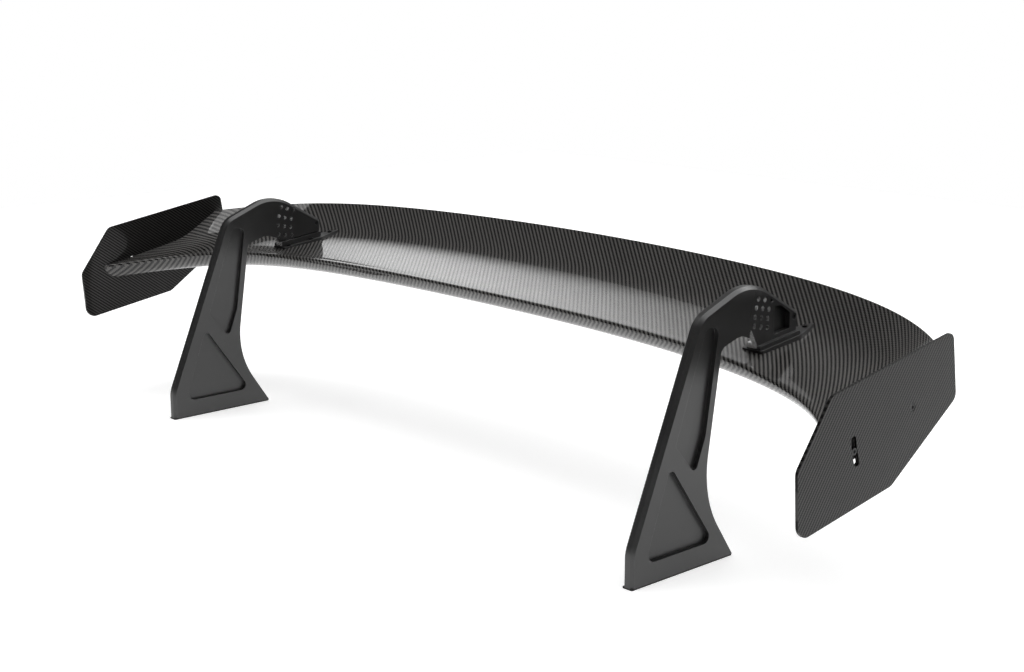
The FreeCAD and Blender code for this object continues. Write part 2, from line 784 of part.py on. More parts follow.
def make_bracket_screws(word, side):
    centre = side * size("upright_centre")
    screws = []
    for index, (x, share) in enumerate(base_screw_places()):
        place = base_screw_axis(side, x, share)
        screws.append(socket_screw(f"base_screw_{word}_{index}", "Sizes.base_screw_head",
                                   "Sizes.base_head_height", "Sizes.base_screw", "Sizes.base_screw_length", place))
    keep(f"base_plate_screws_{word}", compound(f"base_plate_screws_{word}_group", screws))
    upward = []
    slope = math.degrees(base_line()[2])
    for index, share in enumerate(FOOT_SCREW_SHARES):
        y, z = on_base(share * size("base_length"), size("foot_head_height") + size("head_gap"))
        place = Placement(Vector(centre, y, z), Rotation(Vector(1, 0, 0), slope))
        upward.append(socket_screw(f"bracket_screw_{word}_{index}", "Sizes.foot_screw_head",
                                   "Sizes.foot_head_height", "Sizes.foot_screw", "Sizes.foot_screw_length", place))
    keep(f"bracket_screws_{word}", compound(f"bracket_screws_{word}_group", upward))


def make_adjuster_bolts(word, side):
    """The pivot bolt, threaded into the upright's nose, and the lock screw in the bracket."""
    face = size("upright_centre") + size("plate_thickness") / 2
    inboard = turned_to(Vector(-side, 0, 0))
    seat = face - size("pivot_head_height") - size("head_gap") + size("screw_gap")
    pivot = socket_screw(f"pivot_{word}", "Sizes.pivot_head", "Sizes.pivot_head_height", "Sizes.pivot_bolt",
                         "Sizes.plate_thickness - Sizes.pivot_head_height - Sizes.head_gap",
                         Placement(Vector(side * seat, *from_pivot(0, 0)), inboard))
    keep(f"pivot_bolt_{word}", pivot)
    rod = cylinder(f"lock_{word}_rod", "Sizes.pivot_bolt",
                   "Sizes.plate_thickness / 2 - Sizes.head_gap - Sizes.lap_face_gap")
    key = doc.addObject("Part::Prism", f"lock_{word}_key")
    key.Polygon = 6
    sheet_size(key, "Circumradius", "Sizes.pivot_bolt * 0.55")
    sheet_size(key, "Height", "Sizes.pivot_bolt")
    screw = cut(f"lock_{word}_screw", rod, key)
    start = side * (face - size("head_gap"))
    keep(f"lock_screw_{word}", screw, Placement(Vector(start, *vernier_holes(False)[LOCK_HOLE]), inboard))


# ---------------------------------------------------------------- the end plates

def end_plate_corners():
    """The plate's outline from its front lower corner, before it is tilted, as (back, up, radius)."""
    length = size("end_plate_length")
    height = size("end_plate_height")
    return [(0, 0, 16), (7, height - 63, 14), (72, height, 14), (length, height, 10), (length, 60, 12),
            (length - 131, 0, 16)]


END_PLATE_CORNER = (-197.0, -110.4)     # (y, z) of the plate's front lower corner from its own pivot


def tilted(back, up):
    angle = math.radians(size("end_plate_tilt"))
    pivot = end_bolt_places()[0]
    y = pivot[0] + END_PLATE_CORNER[0] + back * math.cos(angle) - up * math.sin(angle)
    z = pivot[1] + END_PLATE_CORNER[1] + back * math.sin(angle) + up * math.cos(angle)
    return y, z


def slot_outline(width, travel):
    """A curved slot about the rear pivot, with round ends."""
    pivot = Vector(*end_bolt_places()[0], 0)
    reach = size("slot_radius")

    def at(radius, angle):
        turn = math.radians(angle)
        return pivot + Vector(-radius * math.cos(turn), -radius * math.sin(turn), 0)

    middle = size("slot_angle")
    low = middle - travel
    high = middle + travel
    over = math.degrees(width / reach)
    outside = Part.Arc(at(reach + width, low), at(reach + width, middle), at(reach + width, high))
    inside = Part.Arc(at(reach - width, high), at(reach - width, middle), at(reach - width, low))
    far_end = Part.Arc(at(reach + width, high), at(reach, high + over), at(reach - width, high))
    near_end = Part.Arc(at(reach - width, low), at(reach, low - over), at(reach + width, low))
    return [outside, far_end, inside, near_end]


SLOT_END_PLAY = 0.3       # room past the bolt at each end of its travel


def make_end_plate(word, side):
    thickness = size("end_plate_thickness")
    body = new_body(f"end_plate_{word}")
    corners = [(*tilted(back, up), radius) for back, up, radius in end_plate_corners()]
    sketch = sketch_on(body, "YZ_Plane", "Outline", rounded(corners))
    pad(body, "Plate", sketch, "Sizes.end_plate_thickness", False, side < 0)
    pivot, clamp = end_bolt_places()
    travel = size("tilt_travel") + math.degrees(SLOT_END_PLAY / size("slot_radius"))
    through = [circle(*pivot, size("end_bolt") + size("running_gap"))]
    through += slot_outline(size("end_bolt") + size("screw_gap"), travel)
    pocket(body, "BoltOpenings", sketch_on(body, "YZ_Plane", "BoltOutlines", through))
    recess = [circle(*pivot, size("end_bolt_head") + size("head_gap"))]
    recess += slot_outline(size("end_bolt_head") + size("head_gap"), travel)
    outer = Placement(Vector(0, 0, side * thickness), Rotation())
    cutting = sketch_on(body, "YZ_Plane", "HeadOutlines", recess, outer)
    pocket(body, "HeadRecesses", cutting, "Sizes.end_head_height + Sizes.head_gap", side < 0)
    inner_face = side * (size("blade_half_span") + size("end_plate_gap"))
    keep(f"end_plate_{word}", body, Placement(Vector(inner_face, 0, 0), Rotation()))

    inboard = turned_to(Vector(-side, 0, 0))
    recess_floor = inner_face + side * (thickness - size("end_head_height") - size("head_gap"))
    bolts = []
    sleeves = []
    for index, (y, z) in enumerate((pivot, clamp)):
        place = Placement(Vector(recess_floor + side * size("screw_gap"), y, z), inboard)
        bolts.append(socket_screw(f"end_bolt_{word}_{index}", "Sizes.end_bolt_head", "Sizes.end_head_height",
                                  "Sizes.end_bolt", "Sizes.end_bolt_length", place))
        sleeve_place = Placement(Vector(side * size("blade_half_span"), y, z), inboard)
        sleeves.append(tube(f"end_insert_{word}_{index}", "Sizes.end_bolt + Sizes.sleeve_wall",
                            "Sizes.end_bolt", "Sizes.rib_thickness", sleeve_place))
    keep(f"end_plate_pivot_bolt_{word}", bolts[0])
    keep(f"end_plate_clamp_bolt_{word}", bolts[1])
    keep(f"end_rib_inserts_{word}", compound(f"end_rib_inserts_{word}_group", sleeves))


# ---------------------------------------------------------------- putting it together

make_skins()
make_core()
blank = code_shape("blade_blank", lofted(outer_section, stations(size("blade_half_span"))))
for word, side in SIDES.items():
    make_upright(word, side)
    make_foot_parts(word, side)
    make_bracket(word, side)
    make_base_plate(word, side, blank)
    make_bracket_screws(word, side)
    make_adjuster_bolts(word, side)
    make_end_plate(word, side)
doc.recompute()

# The origin moves under the middle of the whole wing, halfway between its foremost and rearmost points.
box = FreeCAD.BoundBox()
for made in pieces.values():
    box.add(made.Shape.BoundBox)
to_middle = Placement(Vector(0, -(box.YMin + box.YMax) / 2, 0), Rotation())
for made in pieces.values():
    made.Placement = to_middle * made.Placement
doc.recompute()

for made in doc.Objects:
    if "Invalid" in made.State or "Error" in made.State:
        raise RuntimeError(f"{made.Label}: {made.State}")
os.makedirs("parts", exist_ok=True)
for name, made in pieces.items():
    if made.Shape.isNull() or not made.Shape.isValid():
        raise RuntimeError(f"{name} has no valid shape")
    made.Shape.exportStep(os.path.join("parts", name + ".step"))
print(f"origin moved by {-(box.YMin + box.YMax) / 2:.2f}; {len(pieces)} sub-parts")
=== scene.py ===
# %% [markdown]
# # A racing rear wing
#
# The real wing is a hollow carbon blade that hangs from two swan-neck uprights cut out of aluminium plate.
# Two carbon end plates close its ends. The imported frame already holds every machined piece at its true
# size and place. This lesson gives each piece its finish, and models again the two pieces whose surface
# has to be finer than the frame's: the two halves of the blade.

# %% [markdown]
# ## The frame
#
# Loading the frame brings in every piece at its place, with the joints it turns on.

# %% Load the frame
import json
import math

import bpy
from mathutils import Matrix, Vector


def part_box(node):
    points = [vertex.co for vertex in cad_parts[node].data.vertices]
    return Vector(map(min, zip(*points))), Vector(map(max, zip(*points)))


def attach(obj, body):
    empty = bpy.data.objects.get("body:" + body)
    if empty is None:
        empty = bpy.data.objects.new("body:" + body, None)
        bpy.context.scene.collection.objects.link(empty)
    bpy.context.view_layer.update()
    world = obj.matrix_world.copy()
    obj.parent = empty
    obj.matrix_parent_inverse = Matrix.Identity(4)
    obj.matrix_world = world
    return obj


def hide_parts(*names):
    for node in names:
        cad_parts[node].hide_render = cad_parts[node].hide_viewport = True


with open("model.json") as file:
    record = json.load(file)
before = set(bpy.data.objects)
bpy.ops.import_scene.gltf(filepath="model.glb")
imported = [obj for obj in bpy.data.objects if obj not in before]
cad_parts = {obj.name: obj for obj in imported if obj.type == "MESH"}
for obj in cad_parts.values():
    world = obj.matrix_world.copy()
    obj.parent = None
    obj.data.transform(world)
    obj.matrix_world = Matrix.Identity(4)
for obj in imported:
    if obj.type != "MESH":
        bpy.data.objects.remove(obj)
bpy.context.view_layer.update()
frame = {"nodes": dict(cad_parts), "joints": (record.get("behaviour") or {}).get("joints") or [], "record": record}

MM = 0.001
SIDES = {"left": -1, "right": 1}
nodes = frame["nodes"]
joints = {joint["name"]: joint for joint in frame["joints"]}
PIVOT = Vector(joints["angle_of_attack"]["pos_m"])

# %% [markdown]
# ## The camera
#
# The camera stands at the right front corner, a little above the wing, with a lens a bit longer than the
# eye's. It could be aimed with a Track To constraint, but two angles say where it looks in plain numbers:
# first it is tipped up from looking straight down, then it is turned about the upright axis.

# %% Camera
CAMERA_PLACE = (1.7637, -1.5487, 0.7248)
CAMERA_TURN = 47.394        # degrees round from looking straight back
CAMERA_DIP = 12.868         # degrees down from level
LENS = 58.78

camera_data = bpy.data.cameras.new("camera")
camera_data.lens = LENS
camera = bpy.data.objects.new("camera", camera_data)
camera.location = CAMERA_PLACE
camera.rotation_euler = (math.radians(90 - CAMERA_DIP), 0, math.radians(CAMERA_TURN))
bpy.context.scene.collection.objects.link(camera)
bpy.context.scene.camera = camera
print("camera at", [round(place, 3) for place in camera.location])

# %% [markdown]
# ## Three small helpers for modelling
#
# An operator acts on whatever is selected, and after the frame is loaded everything is. So each step
# starts with nothing selected. One helper picks the piece to work on, and one names a new piece.

# %% Selecting
def nothing_selected():
    if bpy.context.object and bpy.context.object.mode != "OBJECT":
        bpy.ops.object.mode_set(mode="OBJECT")
    bpy.ops.object.select_all(action="DESELECT")


def work_on(piece):
    nothing_selected()
    piece.select_set(True)
    bpy.context.view_layer.objects.active = piece


def new_piece(name):
    """Names the primitive that was just added."""
    piece = bpy.context.object
    piece.name = name
    piece.data.name = name
    return piece


# %% [markdown]
# ## Shader maths in plain Python
#
# A finish is a graph of nodes. Placing each Math node by hand makes long code that hides the sum, so a
# small class wraps a socket: adding or multiplying two of them adds the Math node and links it. Any other
# node comes from one method, `node`, which takes its type, its settings and what goes into its sockets.

# %% The class that writes sums
class Wire:
    """A value on its way through a finish."""

    def __init__(self, finish, socket):
        self.finish = finish
        self.socket = socket

    def math(self, operation, *others):
        inputs = {place: value for place, value in enumerate((self, *others))}
        return self.finish.node("ShaderNodeMath", {"operation": operation}, inputs)

    def __add__(self, other):
        return self.math("ADD", other)

    def __sub__(self, other):
        return self.math("SUBTRACT", other)

    def __mul__(self, other):
        return self.math("MULTIPLY", other)

    def __truediv__(self, other):
        return self.math("DIVIDE", other)

    def __pow__(self, other):
        return self.math("POWER", other)

    def __rsub__(self, other):
        return self.finish.number(other).math("SUBTRACT", self)

    __radd__ = __add__
    __rmul__ = __mul__


print("a wire adds, subtracts, multiplies, divides and raises to a power")

# %% [markdown]
# ## A finish and its nodes
#
# A finish holds the surface shader and makes the nodes that feed it. Sockets could be set one by one in
# each finish, but the same few nodes come back in all of them: the place on the piece, a mix of two
# colours, noise, a range carried on to another, a rounded edge and a bump. Each is one short method.

# %% The class that holds a finish
class Finish:
    """A material: its surface shader, and the nodes that feed it."""

    def __init__(self, name, **constants):
        self.material = bpy.data.materials.new(name)
        self.material.use_nodes = True
        self.tree = self.material.node_tree
        self.shader = next(node for node in self.tree.nodes if node.type == "BSDF_PRINCIPLED")
        for name_of_socket, value in constants.items():
            self.shader.inputs[name_of_socket.replace("_", " ")].default_value = value

    def node(self, kind, settings=None, inputs=None, output=0):
        made = self.tree.nodes.new(kind)
        for setting, value in (settings or {}).items():
            setattr(made, setting, value)
        for place, value in (inputs or {}).items():
            if isinstance(value, Wire):
                self.tree.links.new(value.socket, made.inputs[place])
            else:
                made.inputs[place].default_value = value
        return Wire(self, made.outputs[output])

    def number(self, value):
        return self.node("ShaderNodeMath", {"operation": "ADD"}, {0: value, 1: 0.0})

    def feed(self, name_of_socket, value):
        self.tree.links.new(value.socket, self.shader.inputs[name_of_socket])

    def axes(self, vector):
        """The three numbers of a vector."""
        split = self.node("ShaderNodeSeparateXYZ", {}, {0: vector}).socket.node
        return [Wire(self, socket) for socket in split.outputs]

    def place(self):
        """Where the point lies on the piece, in metres."""
        return self.node("ShaderNodeTexCoord", {}, {}, "Object")

    def mix(self, amount, first, second):
        """A colour between two colours."""
        settings = {"data_type": "RGBA"}
        return self.node("ShaderNodeMix", settings, {0: amount, 6: first, 7: second}, 2)

    def noise(self, scale, detail=2.0, roughness=0.5, vector=None):
        inputs = {"Vector": vector or self.place(), "Scale": scale, "Detail": detail, "Roughness": roughness}
        return self.node("ShaderNodeTexNoise", {}, inputs)

    def ramp(self, value, low, high, to_low=0.0, to_high=1.0):
        """Carries a range of values on to another range, and stops at its ends."""
        inputs = {0: value, 1: low, 2: high, 3: to_low, 4: to_high}
        return self.node("ShaderNodeMapRange", {}, inputs)

    def soft_edges(self, radius):
        """The surface's direction with its sharp edges rounded, as a real edge is."""
        return self.node("ShaderNodeBevel", {"samples": 6}, {"Radius": radius})

    def worn_edge(self, radius):
        """1 close to an edge and 0 on a flat face."""
        flat = self.node("ShaderNodeNewGeometry", {}, {}, "True Normal")
        inputs = {0: flat, 1: self.soft_edges(radius)}
        same = self.node("ShaderNodeVectorMath", {"operation": "DOT_PRODUCT"}, inputs, "Value")
        return self.ramp(same, 0.995, 0.8)

    def bump(self, height, distance, strength=1.0, over=None):
        inputs = {"Height": height, "Distance": distance, "Strength": strength}
        if over:
            inputs["Normal"] = over
        return self.node("ShaderNodeBump", {}, inputs)


def grey(level, warmth=0.0):
    """A grey, a little warm or cold."""
    return (level * (1 + warmth), level, level * (1 - warmth), 1.0)


def grey_wire(finish, level):
    """A pale grey with a faint cloud in it."""
    return finish.mix(finish.noise(2.0), grey(level), grey(level * 1.02))


print("a warm middling grey is", grey(0.5, 0.04))

# %% [markdown]
# ## Carbon twill
#
# Carbon cloth is woven from flat tows. In a two by two twill each tow passes over two and under two, and
# each row steps on by one, so the floats line up in diagonal ribs. The pattern could be drawn as an image,
# but a few sums give it at any scale: the cell's row and column number, added and wrapped at four, say
# which tow lies on top. Each float is an arch across its width and a flatter one along its length.
# Under the clear coat the two directions of tow catch the light differently. That is painted into the
# base colour: the tows that run across get a painted sheen, and the others get painted shade.

# %% The weave
BLADE_TOW = 2.0 * MM
PLATE_TOW = 1.5 * MM
TOW_HEIGHT = 0.16 * MM


def weave(finish, across, along, tow):
    """(mask of the tows that run across, height of the cloth, fine lines of the fibres)."""
    column = across / tow
    row = along / tow
    step = (column.math("FLOOR") + row.math("FLOOR")).math("FLOORED_MODULO", 4.0)
    on_top = step.math("LESS_THAN", 1.5)
    across_part = column.math("FRACT")
    along_part = row.math("FRACT")
    float_across = (step + across_part) * 0.5
    float_along = (step - 2.0 + along_part) * 0.5
    lengthwise = finish.ramp(on_top, 0.0, 1.0, float_along, float_across)
    crosswise = finish.ramp(on_top, 0.0, 1.0, across_part, along_part)
    arch = 1.0 - (crosswise * 2.0 - 1.0).math("ABSOLUTE") ** 3.0
    ends = 1.0 - (lengthwise * 2.0 - 1.0).math("ABSOLUTE") ** 4.0
    fibre_run = finish.ramp(on_top, 0.0, 1.0, row * 0.3, column * 0.3)
    fibre_step = finish.ramp(on_top, 0.0, 1.0, column * 9.0, row * 9.0)
    where = finish.node("ShaderNodeCombineXYZ", {}, {0: fibre_step, 1: fibre_run, 2: on_top * 7.3})
    fibres = finish.noise(1.0, 2.0, 0.6, where)
    return on_top, arch * 0.6 + ends * 0.4, fibres


print("ribs on the blade", round(4 * BLADE_TOW / MM, 2), "mm apart along the span")

# %% [markdown]
# ## The two carbon finishes
#
# The blade carries the cloth on its own UV map, which counts metres along the span and along the surface
# from the leading edge. So the ribs bend with the droop as laid cloth does. The end plates are flat, so
# their cloth reads the piece's place straight away. There the outer and the inner face show the same
# cloth from its two sides, and the ribs lean opposite ways. It is laid along the plate's lower edge, which
# climbs a little towards the rear.

# %% Carbon finishes
PLATE_TILT = math.radians(9.2)


def clear_coated(name, coat_ior, coat_roughness):
    constants = {"Roughness": 0.42, "Specular_IOR_Level": 0.1}
    return Finish(name, Coat_IOR=coat_ior, Coat_Roughness=coat_roughness, **constants)


def lay_cloth(finish, light, dark, across, along, tow, gloss_of_dark):
    """Colours the base under the clear coat with a weave: painted sheen on the tows that run across, painted shade
    on the others.
    """
    on_top, height, fibres = weave(finish, across, along, tow)
    cloud = finish.noise(9.0, 3.0, 0.6)
    # The two directions of tow are a painted sheen and a painted shade of the same cloth colour.
    painted_sheen_tows = finish.mix(fibres, grey(light * 0.6, 0.04), grey(light * 1.4, 0.04))
    painted_shade_tows = finish.mix(fibres, grey(dark * 0.5), grey(dark * 1.5))
    tows = finish.mix(on_top, painted_shade_tows, painted_sheen_tows)
    valleys = finish.ramp(height, 0.05, 0.5, 0.25, 1.0) * finish.ramp(cloud, 0.3, 0.7, 0.85, 1.1)
    finish.feed("Base Color", finish.mix(valleys.math("MINIMUM", 1.0), grey(dark * 0.5), tows))
    finish.feed("Roughness", finish.ramp(fibres, 0.2, 0.8, 0.35, 0.5))
    finish.feed("Normal", finish.bump(height, TOW_HEIGHT, 0.6))
    finish.feed("Coat Weight", finish.ramp(on_top, 0.0, 1.0, gloss_of_dark, 1.0))


def blade_carbon():
    finish = clear_coated("blade_carbon", 1.52, 0.035)
    span, run, _ = finish.axes(finish.node("ShaderNodeTexCoord", {}, {}, "UV"))
    lay_cloth(finish, 0.1, 0.002, span, run, BLADE_TOW, 0.85)
    return finish.material


def plate_carbon(word, side):
    finish = clear_coated("plate_carbon_" + word, 1.3, 0.06)
    _, back, up = finish.axes(finish.place())
    facing, _, _ = finish.axes(finish.node("ShaderNodeTexCoord", {}, {}, "Normal"))
    lean = facing.math("SIGN") * -side
    along_plate = back * math.cos(PLATE_TILT) + up * math.sin(PLATE_TILT)
    up_plate = up * math.cos(PLATE_TILT) - back * math.sin(PLATE_TILT)
    lay_cloth(finish, 0.03, 0.001, along_plate, up_plate * lean, PLATE_TOW, 0.2)
    return finish.material


BLADE_CARBON = blade_carbon()
PLATE_CARBON = {word: plate_carbon(word, side) for word, side in SIDES.items()}
print("carbon finishes", [material.name for material in (BLADE_CARBON, *PLATE_CARBON.values())])

# %% [markdown]
# ## Black anodised aluminium
#
# The uprights and brackets are milled from plate, blasted with fine beads and anodised black. The face is
# satin with a fine grain, the milled edges are rubbed a little brighter, and the walls of the adjuster's
# holes are bare, because they are reamed last. Those walls could be picked face by face, but here they are
# found from their place: they lie in the ring of holes round the pivot, inside the plate, and unlike the
# plate's two faces they don't look sideways.

# %% Anodised finish
HOLES_FROM = 48 * MM
HOLES_TO = 84 * MM
HOLES_BELOW = -31 * MM
HOLES_ABOVE = 36 * MM
HOLES_BEHIND = -38 * MM
UPRIGHT_LOW, UPRIGHT_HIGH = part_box("upright_right")
UPRIGHT_AT = (UPRIGHT_LOW.x + UPRIGHT_HIGH.x) / 2
LAP_HALF = 7.9 * MM
BARE = 0.9


def anodised(name, with_holes):
    finish = Finish(name, Metallic=0.85)
    grain = finish.noise(2600.0, 2.0, 0.6)
    cloud = finish.noise(14.0, 3.0, 0.55)
    edge = finish.worn_edge(0.5 * MM)
    face = finish.mix(cloud, grey(0.07), grey(0.09))
    rubbed = finish.mix(edge * 0.5, face, grey(0.24))
    roughness = finish.ramp(cloud, 0.3, 0.7, 0.32, 0.4) + grain * 0.05 - edge * 0.05
    if with_holes:
        sideways, back, up = finish.axes(finish.place())
        facing, _, _ = finish.axes(finish.node("ShaderNodeTexCoord", {}, {}, "Normal"))
        behind = back - PIVOT.y
        above = up - PIVOT.z
        reach = (behind * behind + above * above).math("SQRT")
        in_ring = reach.math("GREATER_THAN", HOLES_FROM) * reach.math("LESS_THAN", HOLES_TO)
        in_rows = above.math("GREATER_THAN", HOLES_BELOW) * above.math("LESS_THAN", HOLES_ABOVE)
        in_front = behind.math("LESS_THAN", HOLES_BEHIND)
        inside = sideways.math("ABSOLUTE").math("COMPARE", UPRIGHT_AT, LAP_HALF)
        wall = facing.math("ABSOLUTE").math("LESS_THAN", 0.2) * in_ring * in_rows * in_front * inside
        rubbed = finish.mix(wall, rubbed, grey(BARE))
        roughness = roughness - wall * 0.12
    finish.feed("Base Color", rubbed)
    finish.feed("Roughness", roughness)
    finish.feed("Normal", finish.bump(grain, 0.02 * MM, 0.35, finish.soft_edges(0.35 * MM)))
    return finish.material


ANODISED = anodised("anodised", False)
ANODISED_DRILLED = anodised("anodised_drilled", True)
print("holes lie", round(HOLES_FROM / MM), "to", round(HOLES_TO / MM), "mm from the pivot")

# %% [markdown]
# ## Rubber, steel and the hidden pieces
#
# The gaskets are dull rubber sheet with a fine pebbled skin. The screws are black oxide steel, a little
# oily, with marks of the lathe. Inside the blade the beams are carbon as it comes from the mould, and the
# blocks are plain machined aluminium. They differ only in colour, grain and gloss, so one function makes
# them all.

# %% The other finishes
def plain_finish(name, dark, light, metallic, rough, grain_scale, grain_height, warmth=0.0):
    finish = Finish(name, Metallic=metallic)
    grain = finish.noise(grain_scale, 3.0, 0.6)
    cloud = finish.noise(grain_scale / 40, 2.0, 0.5)
    edge = finish.worn_edge(0.3 * MM)
    face = finish.mix(cloud, grey(dark, warmth), grey(light, warmth))
    finish.feed("Base Color", finish.mix(edge * 0.5, face, grey(min(1.0, light * 1.8), warmth)))
    finish.feed("Roughness", finish.ramp(grain, 0.2, 0.8, rough - 0.07, rough + 0.07))
    finish.feed("Normal", finish.bump(grain, grain_height, 0.4, finish.soft_edges(0.2 * MM)))
    return finish.material


RUBBER = plain_finish("gasket_rubber", 0.012, 0.02, 0.0, 0.8, 1800.0, 0.05 * MM)
BLACK_STEEL = plain_finish("black_oxide_steel", 0.03, 0.055, 0.85, 0.36, 1500.0, 0.01 * MM)
PLATED_STEEL = plain_finish("zinc_plated_steel", 0.42, 0.6, 1.0, 0.3, 1300.0, 0.01 * MM, 0.02)
RAW_ALUMINIUM = plain_finish("machined_aluminium", 0.55, 0.72, 1.0, 0.32, 900.0, 0.01 * MM)
MOULDED_CARBON = plain_finish("moulded_carbon", 0.012, 0.03, 0.1, 0.5, 600.0, 0.05 * MM)
print("finishes made so far", len(bpy.data.materials))

# %% [markdown]
# ## Each piece gets its finish
#
# The frame's record names a material slot for every piece, so most finishes follow from the slot. The
# pieces of the adjuster and the two end plates have a finish of their own, and are known by their names.

# %% Finishes on the pieces
FINISH_OF_SLOT = {
    "carbon_blade": BLADE_CARBON,
    "carbon_inner": MOULDED_CARBON,
    "black_anodised": ANODISED,
    "raw_aluminium": RAW_ALUMINIUM,
    "gasket_rubber": RUBBER,
    "plated_steel": PLATED_STEEL,
    "black_steel": BLACK_STEEL,
}
for subpart in frame["record"]["subparts"]:
    name = subpart["node"]
    finish = FINISH_OF_SLOT.get(subpart["material_slot"])
    if name.startswith(("upright", "wing_bracket")):
        finish = ANODISED_DRILLED
    if name.startswith("end_plate_") and "bolt" not in name:
        finish = PLATE_CARBON[name.split("_")[-1]]
    nodes[name].data.materials.clear()
    nodes[name].data.materials.append(finish)

# %% [markdown]
# ## The blade's shape
#
# The blade droops and sweeps forward towards its ends, and its upper face is nearly flat, with a tail that
# turns up. The frame's own blade is right in shape, but its triangles are too coarse for a mirror-like
# coat, and it has no map for the cloth. So each half is modelled again over the same lines: two edges
# that bend with the span, and a section that hangs between them. Both edges are placed from the pivot, in
# the middle of the span.

# %% Lines of the blade
HALF_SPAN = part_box("blade_upper_skin")[1].x
NOSE_SHARE = 0.1
NOSE_HALF = 13.5 * MM
TAIL_HALF = 0.75 * MM
WALL = 1.8 * MM
NOSE_AHEAD = 89.3 * MM
NOSE_UNDER = 33 * MM
NOSE_SWEEP = 168 * MM
NOSE_DROOP = 47 * MM
TAIL_BEHIND = 130.7 * MM
TAIL_OVER = 31 * MM
TAIL_SWEEP = 165 * MM
TAIL_DROOP = 35 * MM
FLOOR_START = 4 * MM
FLOOR_DIP = 34 * MM
DIP_LOST_AT_ENDS = 15 * MM
TURN_SHARE = 0.78
TURN_FORWARD_AT_ENDS = 0.105
TURN_ROUNDING = 8 * MM


def bend(share, gentle, power):
    """A bend that starts gently from the middle and gathers towards the ends of the span."""
    return gentle * share ** 2 + (1 - gentle) * share ** power


def leading_edge(x):
    share = abs(x) / HALF_SPAN
    back = -NOSE_AHEAD - NOSE_SWEEP * bend(share, 0.3, 10)
    up = -NOSE_UNDER - NOSE_DROOP * bend(share, 0.1, 4)
    return Vector((x, PIVOT.y + back, PIVOT.z + up))


def trailing_edge(x):
    share = abs(x) / HALF_SPAN
    back = TAIL_BEHIND - TAIL_SWEEP * bend(share, 0.5, 8)
    up = TAIL_OVER - TAIL_DROOP * bend(share, 0.4, 5)
    return Vector((x, PIVOT.y + back, PIVOT.z + up))


def half_thickness(along):
    """Half of the section at a share of the chord: an elliptic nose, then a parabola to the tail."""
    if along < NOSE_SHARE:
        return NOSE_HALF * math.sqrt(max(0.0, 1 - (1 - along / NOSE_SHARE) ** 2))
    behind = (along - NOSE_SHARE) / (1 - NOSE_SHARE)
    return TAIL_HALF + (NOSE_HALF - TAIL_HALF) * max(0.0, 1 - behind * behind)


def floor_line(along, x, rounding=TURN_ROUNDING):
    """The upper face over the chord: two straight stretches with a hyperbola between them."""
    toward_end = (abs(x) / HALF_SPAN) ** 6
    dip = FLOOR_DIP - DIP_LOST_AT_ENDS * toward_end
    turn = TURN_SHARE - TURN_FORWARD_AT_ENDS * toward_end
    floor = FLOOR_START - (FLOOR_START + dip) * along / turn
    tail = -dip * (1 - along) / (1 - turn)
    return (floor + tail + math.hypot(floor - tail, rounding)) / 2


def mid_line(along, x):
    """Midway between the two faces. Over the nose it bends up to meet the leading edge."""
    if along >= NOSE_SHARE:
        return floor_line(along, x) - half_thickness(along)
    step = 0.001
    meets = mid_line(NOSE_SHARE, x)
    slope = (mid_line(NOSE_SHARE + step, x) - meets) / step
    lift = (slope * NOSE_SHARE - meets) / NOSE_SHARE ** 2
    return meets + slope * (along - NOSE_SHARE) + lift * (along - NOSE_SHARE) ** 2


def inner_half(along, x):
    """Half of the hollow inside the two skins."""
    if along >= NOSE_SHARE:
        return max(0.0, half_thickness(along) - WALL)
    start = WALL / chord_at(x)
    reach = (NOSE_SHARE - along) / (NOSE_SHARE - start)
    return (NOSE_HALF - WALL) * math.sqrt(max(0.0, 1 - reach * reach))


def in_section(along, over, x):
    front = leading_edge(x)
    chord = trailing_edge(x) - front
    upward = Vector((0, -chord.z, chord.y)).normalized()
    return front + chord * along + upward * over


def chord_at(x):
    return (trailing_edge(x) - leading_edge(x)).length


for place, x in (("middle", 0), ("ends", HALF_SPAN)):
    print("chord at the", place, round(chord_at(x) / MM, 1), "mm")

# %% [markdown]
# ## The section of a half
#
# Each half is a thin shell, bonded to the other along the nose and the tail. Its section is a closed line:
# out along the face from the nose to the tail, and back inside. It could be made thick with a Solidify
# modifier, but the inside has to meet the other half's at both bonds, so its points are worked out.
# They stand closer at the nose and the tail, where the surface turns fastest.

# %% Section of the shell
FACE_STEPS = 56
BACK_STEPS = 24
ROWS = FACE_STEPS + BACK_STEPS


def tail_bond():
    """Share of the chord at which the two inner faces meet."""
    left_over = (WALL - TAIL_HALF) / (NOSE_HALF - TAIL_HALF)
    return NOSE_SHARE + (1 - NOSE_SHARE) * math.sqrt(1 - left_over)


def shell_point(row, x, sign):
    """A point of the closed section. The sign says which half: 1 is the upper and -1 the lower."""
    if row <= FACE_STEPS:
        along = (1 - math.cos(math.pi * row / FACE_STEPS)) / 2
        over = mid_line(along, x) + sign * half_thickness(along)
    elif row == FACE_STEPS + 1:
        along = 1
        over = mid_line(along, x)
    elif row < ROWS:
        nose_bond = WALL / chord_at(x)
        turn = (row - FACE_STEPS - 1) / (BACK_STEPS - 2)
        along = nose_bond + (tail_bond() - nose_bond) * (1 + math.cos(math.pi * turn)) / 2
        over = mid_line(along, x) + sign * inner_half(along, x)
    else:
        along = 0
        over = 0
    return in_section(along, over, x)


print("the inner faces meet at", round(tail_bond(), 3), "of the chord")

# %% [markdown]
# ## A softer turn into the tail
#
# The upper face turns up into the tail over a short stretch, as the frame's blade does. On the real wing
# the sheen fades over most of the chord. Bending the face itself would take it off the frame's shape, so
# the form stays and only its shading is drawn out: the upper face gets directions of its own, worked out
# from the same line with a rounder turn. Towards the nose they fade back to the true ones.

# %% Shading of the turn
TURN_SOFTNESS = 50 * MM
SOFT_FROM = 0.12
SOFT_OVER = 0.15
SOFT_TO = 0.995
FACING_UP = 0.3


def soft_point(along, x):
    return in_section(along, floor_line(along, x, TURN_SOFTNESS), x)


